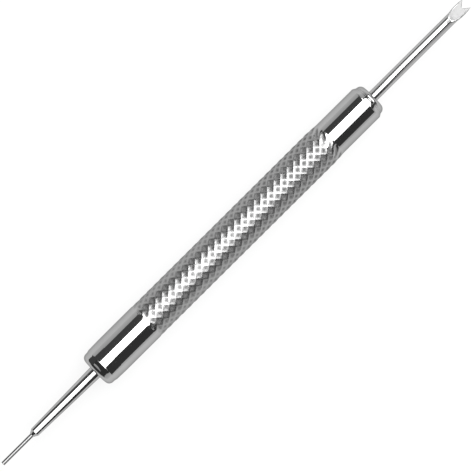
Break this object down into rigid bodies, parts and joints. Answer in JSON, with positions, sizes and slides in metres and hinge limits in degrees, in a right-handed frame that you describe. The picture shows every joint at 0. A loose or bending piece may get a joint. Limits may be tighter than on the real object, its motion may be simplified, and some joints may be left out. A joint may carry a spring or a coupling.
{
  "type": "spring bar tool",
  "caption": "Slim double-ended watch strap tool: knurled steel handle with a screwed-in V-notched fork at one end and a screwed-in fine pin at the other.",
  "frame": {"origin": "on the tool's axis, midway between the fork's tips and the needle's end", "axes": "+X along the tool towards the fork, +Z normal to the fork's flats, +Y across the two tips of the fork"},
  "size_m": [0.1386, 0.0088, 0.0088],
  "materials": {
    "handle_steel": "mirror-polished stainless steel with a pressed diamond knurl",
    "washer_steel": "turned stainless steel",
    "fork_steel": "polished rod with satin-ground flats on the blade",
    "holder_steel": "polished stainless steel",
    "needle_steel": "hardened and ground steel"
  },
  "bodies": {
    "handle": {"handle": "handle_steel"},
    "fork_seat": {"fork_seat_washer": "washer_steel"},
    "fork": {"fork_tip": "fork_steel"},
    "pin_seat": {"pin_seat_washer": "washer_steel"},
    "pin": {"pin_holder": "holder_steel", "needle": "needle_steel"}
  },
  "joints": [
    {"name": "fork_travel", "type": "slide", "parent": "handle", "child": "fork_seat", "axis": [1, 0, 0], "range_m": [0, 0.006]},
    {"name": "fork_turn", "type": "hinge", "parent": "fork_seat", "child": "fork", "pos_m": [0.0413, 0, 0], "axis": [1, 0, 0], "range_deg": [0, 5400]},
    {"name": "pin_travel", "type": "slide", "parent": "handle", "child": "pin_seat", "axis": [-1, 0, 0], "range_m": [0, 0.006]},
    {"name": "pin_turn", "type": "hinge", "parent": "pin_seat", "child": "pin", "pos_m": [-0.0416, 0, 0], "axis": [-1, 0, 0], "range_deg": [0, 5400]}
  ],
  "couplings": [
    {"joint": "fork_turn", "follows": "fork_travel", "rad_per_m": 15708},
    {"joint": "pin_turn", "follows": "pin_travel", "rad_per_m": 15708}
  ]
}
